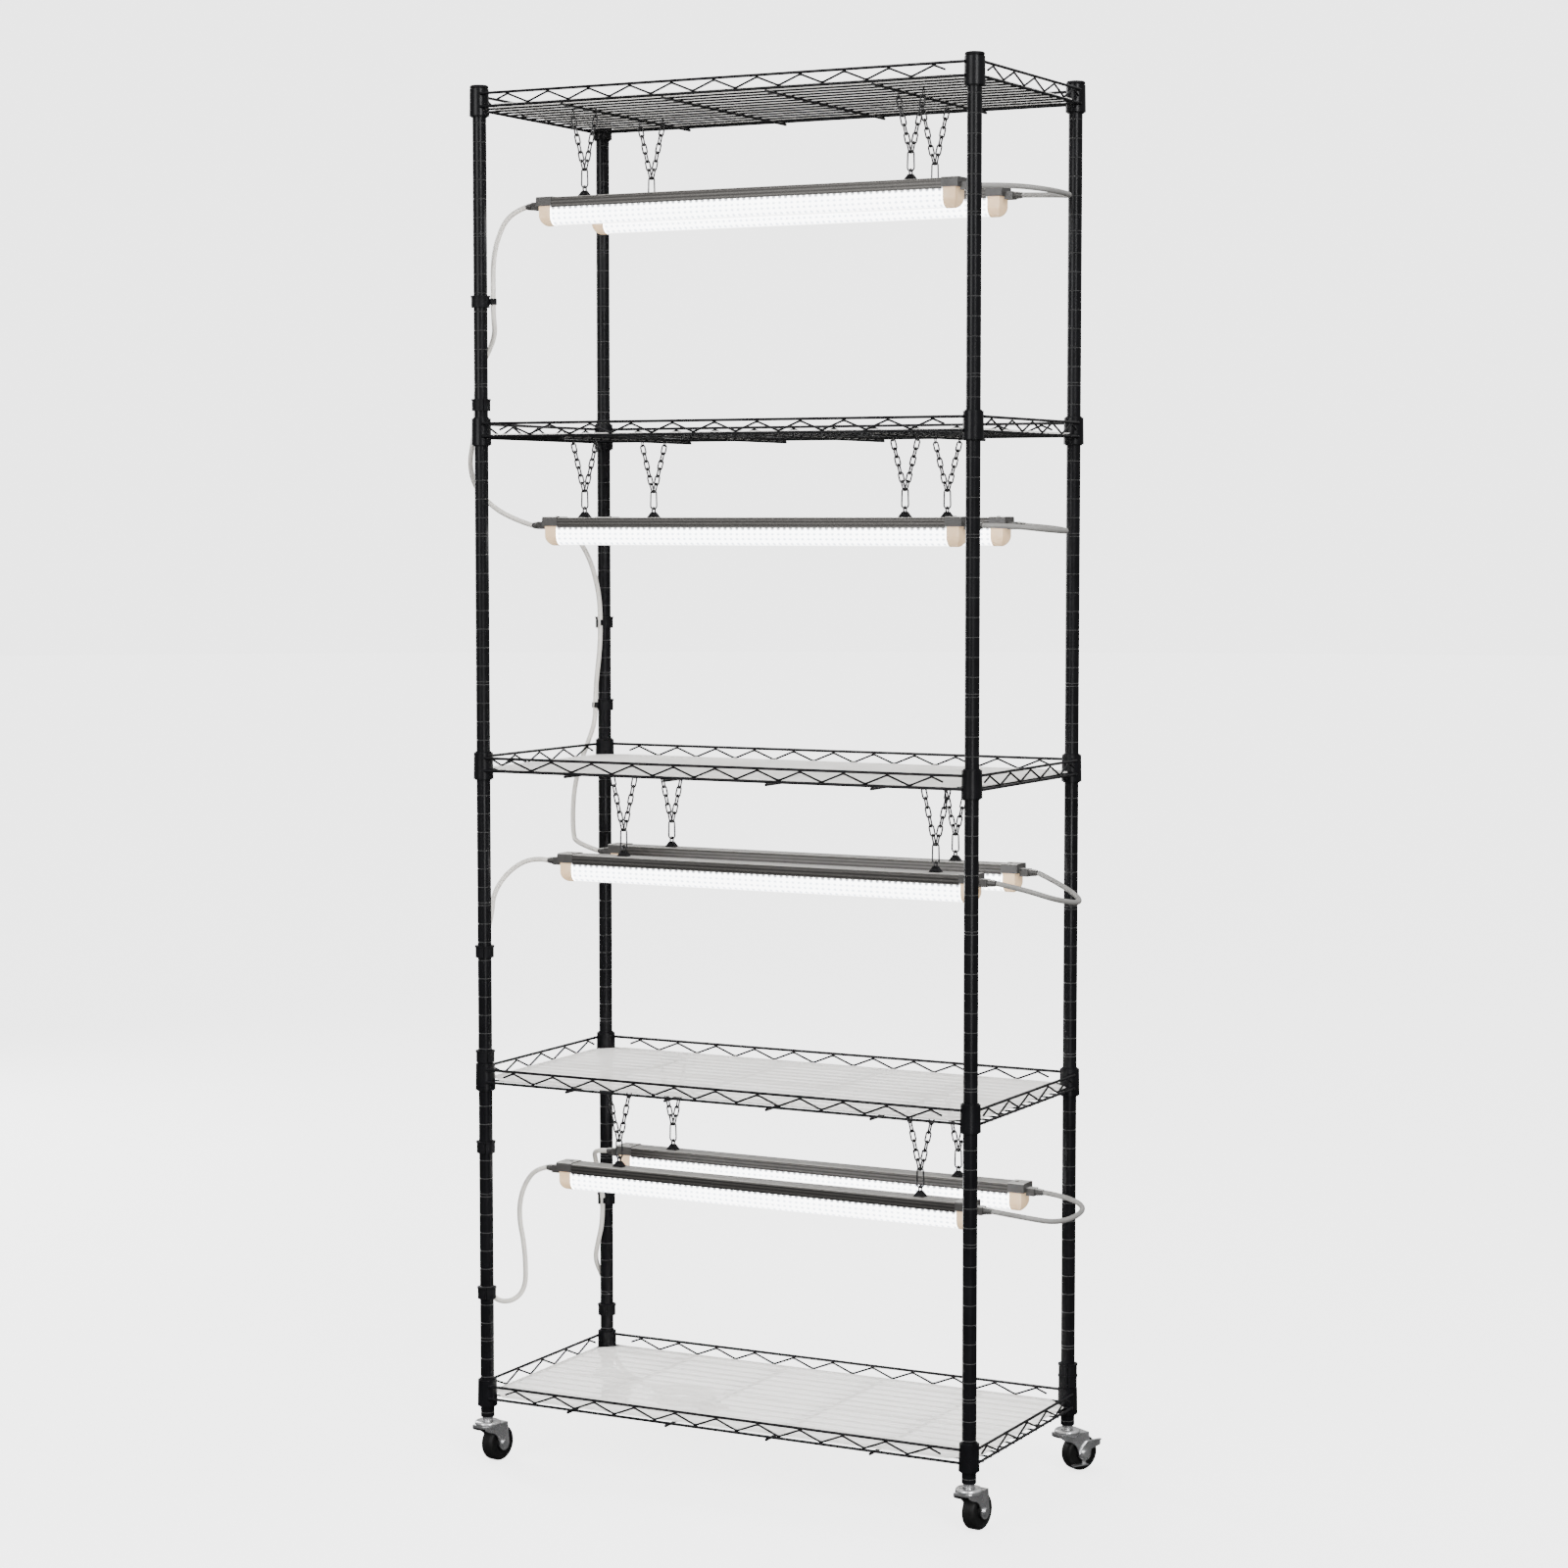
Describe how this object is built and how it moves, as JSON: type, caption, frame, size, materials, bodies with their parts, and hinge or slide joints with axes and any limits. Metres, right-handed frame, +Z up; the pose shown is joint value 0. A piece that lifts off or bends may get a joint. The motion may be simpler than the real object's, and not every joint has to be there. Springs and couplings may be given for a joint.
{
  "type": "wire shelving rack",
  "caption": "Black wire shelving rack on swivel casters with frosted shelf liners and twin tube grow lights hung on chains below the upper shelves.",
  "frame": {"origin": "on the floor, below the centre of the rectangle of the four posts", "axes": "+X along the shelves' long side to the viewer's right seen from the front, +Y from front to rear, +Z up"},
  "size_m": [0.8551, 0.495, 1.9018],
  "materials": {
    "frame_black": "semi-gloss black epoxy coat over chromed steel",
    "black_plastic": "moulded black nylon, fine grain",
    "liner": "frosted translucent polypropylene sheet",
    "zinc": "bright zinc plate",
    "wheel_black": "hard black rubber tread on a nylon core",
    "lamp_silver": "satin anodised extrusion",
    "diffuser": "milky polycarbonate",
    "chain": "dark nickel plate",
    "cable": "off-white flexible vinyl",
    "plug": "off-white moulded vinyl with nickel blades"
  },
  "bodies": {
    "rack": {"lower_posts": "frame_black", "upper_posts": "frame_black", "post_caps": "black_plastic", "foot_inserts": "black_plastic", "post_joiners": "zinc", "shelf_1": "frame_black", "shelf_2": "frame_black", "shelf_3": "frame_black", "shelf_4": "frame_black", "shelf_5": "frame_black", "shelf_liners": "liner", "split_sleeves": "black_plastic", "cable_clips": "black_plastic", "caster_stems": "zinc", "cable_link_1": "cable", "cable_link_2": "cable", "cable_link_3": "cable", "cable_link_4": "cable", "cable_feed_upper": "cable", "cable_feed_rear": "cable", "cable_feed_lower": "cable", "mains_lead": "cable", "mains_coil": "cable", "mains_plug": "plug"},
    "caster_fl": {"fork_fl": "zinc"},
    "caster_fl_wheel": {"wheel_fl": "wheel_black"},
    "caster_fr": {"fork_fr": "zinc"},
    "caster_fr_wheel": {"wheel_fr": "wheel_black"},
    "caster_br": {"fork_br": "zinc"},
    "caster_br_wheel": {"wheel_br": "wheel_black"},
    "caster_br_brake": {"brake_lever_br": "zinc"},
    "caster_bl": {"fork_bl": "zinc"},
    "caster_bl_wheel": {"wheel_bl": "wheel_black"},
    "caster_bl_brake": {"brake_lever_bl": "zinc"},
    "lamp_1_front": {"lamp_1_front_housing": "lamp_silver", "lamp_1_front_diffuser": "diffuser", "lamp_1_front_hangers": "chain"},
    "lamp_1_rear": {"lamp_1_rear_housing": "lamp_silver", "lamp_1_rear_diffuser": "diffuser", "lamp_1_rear_hangers": "chain"},
    "lamp_2_front": {"lamp_2_front_housing": "lamp_silver", "lamp_2_front_diffuser": "diffuser", "lamp_2_front_hangers": "chain"},
    "lamp_2_rear": {"lamp_2_rear_housing": "lamp_silver", "lamp_2_rear_diffuser": "diffuser", "lamp_2_rear_hangers": "chain"},
    "lamp_3_front": {"lamp_3_front_housing": "lamp_silver", "lamp_3_front_diffuser": "diffuser", "lamp_3_front_hangers": "chain"},
    "lamp_3_rear": {"lamp_3_rear_housing": "lamp_silver", "lamp_3_rear_diffuser": "diffuser", "lamp_3_rear_hangers": "chain"},
    "lamp_4_front": {"lamp_4_front_housing": "lamp_silver", "lamp_4_front_diffuser": "diffuser", "lamp_4_front_hangers": "chain"},
    "lamp_4_rear": {"lamp_4_rear_housing": "lamp_silver", "lamp_4_rear_diffuser": "diffuser", "lamp_4_rear_hangers": "chain"}
  },
  "joints": [
    {"name": "swivel_fl", "type": "hinge", "parent": "rack", "child": "caster_fl", "pos_m": [-0.3683, -0.1651, 0.058], "axis": [0, 0, 1], "continuous": true},
    {"name": "wheel_spin_fl", "type": "hinge", "parent": "caster_fl", "child": "caster_fl_wheel", "pos_m": [-0.365, -0.14537, 0.025], "axis": [-0.9863, 0.165, 0], "continuous": true},
    {"name": "swivel_fr", "type": "hinge", "parent": "rack", "child": "caster_fr", "pos_m": [0.3683, -0.1651, 0.058], "axis": [0, 0, 1], "continuous": true},
    {"name": "wheel_spin_fr", "type": "hinge", "parent": "caster_fr", "child": "caster_fr_wheel", "pos_m": [0.37091, -0.14527, 0.025], "axis": [-0.9914, 0.1305, 0], "continuous": true},
    {"name": "swivel_br", "type": "hinge", "parent": "rack", "child": "caster_br", "pos_m": [0.3683, 0.1651, 0.058], "axis": [0, 0, 1], "continuous": true},
    {"name": "wheel_spin_br", "type": "hinge", "parent": "caster_br", "child": "caster_br_wheel", "pos_m": [0.3786, 0.18224, 0.025], "axis": [-0.8572, 0.515, 0], "continuous": true},
    {"name": "brake_br", "type": "hinge", "parent": "caster_br", "child": "caster_br_brake", "pos_m": [0.3786, 0.18224, 0.025], "axis": [-0.8572, 0.515, 0], "range_deg": [0, 12]},
    {"name": "swivel_bl", "type": "hinge", "parent": "rack", "child": "caster_bl", "pos_m": [-0.3683, 0.1651, 0.058], "axis": [0, 0, 1], "continuous": true},
    {"name": "wheel_spin_bl", "type": "hinge", "parent": "caster_bl", "child": "caster_bl_wheel", "pos_m": [-0.36312, 0.18442, 0.025], "axis": [-0.9659, 0.2588, 0], "continuous": true},
    {"name": "brake_bl", "type": "hinge", "parent": "caster_bl", "child": "caster_bl_brake", "pos_m": [-0.36312, 0.18442, 0.025], "axis": [-0.9659, 0.2588, 0], "range_deg": [0, 12]},
    {"name": "lamp_1_front_swing", "type": "hinge", "parent": "rack", "child": "lamp_1_front", "pos_m": [0, -0.075, 0.5369], "axis": [1, 0, 0], "range_deg": [-10, 10]},
    {"name": "lamp_1_rear_swing", "type": "hinge", "parent": "rack", "child": "lamp_1_rear", "pos_m": [0, 0.075, 0.5369], "axis": [1, 0, 0], "range_deg": [-10, 10]},
    {"name": "lamp_2_front_swing", "type": "hinge", "parent": "rack", "child": "lamp_2_front", "pos_m": [0, -0.075, 0.9687], "axis": [1, 0, 0], "range_deg": [-10, 10]},
    {"name": "lamp_2_rear_swing", "type": "hinge", "parent": "rack", "child": "lamp_2_rear", "pos_m": [0, 0.075, 0.9687], "axis": [1, 0, 0], "range_deg": [-10, 10]},
    {"name": "lamp_3_front_swing", "type": "hinge", "parent": "rack", "child": "lamp_3_front", "pos_m": [0, -0.075, 1.4259], "axis": [1, 0, 0], "range_deg": [-10, 10]},
    {"name": "lamp_3_rear_swing", "type": "hinge", "parent": "rack", "child": "lamp_3_rear", "pos_m": [0, 0.075, 1.4259], "axis": [1, 0, 0], "range_deg": [-10, 10]},
    {"name": "lamp_4_front_swing", "type": "hinge", "parent": "rack", "child": "lamp_4_front", "pos_m": [0, -0.075, 1.8704], "axis": [1, 0, 0], "range_deg": [-10, 10]},
    {"name": "lamp_4_rear_swing", "type": "hinge", "parent": "rack", "child": "lamp_4_rear", "pos_m": [0, 0.075, 1.8704], "axis": [1, 0, 0], "range_deg": [-10, 10]}
  ]
}
